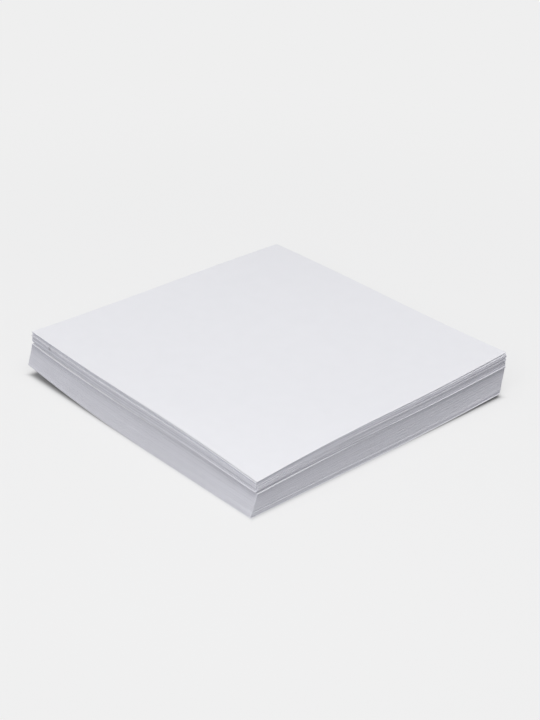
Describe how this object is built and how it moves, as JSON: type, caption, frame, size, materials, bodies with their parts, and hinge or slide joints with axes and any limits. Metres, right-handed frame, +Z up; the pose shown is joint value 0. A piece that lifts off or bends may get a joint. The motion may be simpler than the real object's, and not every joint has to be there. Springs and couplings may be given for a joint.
{
  "type": "memo paper block",
  "caption": "Low square pile of loose plain white memo sheets, slipped and fanned a little, with two lifted corners.",
  "frame": {"origin": "middle of the bottom sheet's lower face, on the surface the pile rests on", "axes": "+Z up, X and Y along the bottom sheet's edges; the front corner points to -X -Y"},
  "size_m": [0.0927, 0.0914, 0.0124],
  "materials": {
    "paper": "matte uncoated writing paper"
  },
  "bodies": {
    "root": {"bottom_sheet": "paper", "base_packet": "paper", "low_packet": "paper", "middle_packet": "paper", "ledge_packet": "paper", "overhang_packet": "paper", "first_fan_packet": "paper", "second_fan_packet": "paper", "third_fan_packet": "paper", "top_packet": "paper"}
  },
  "joints": []
}
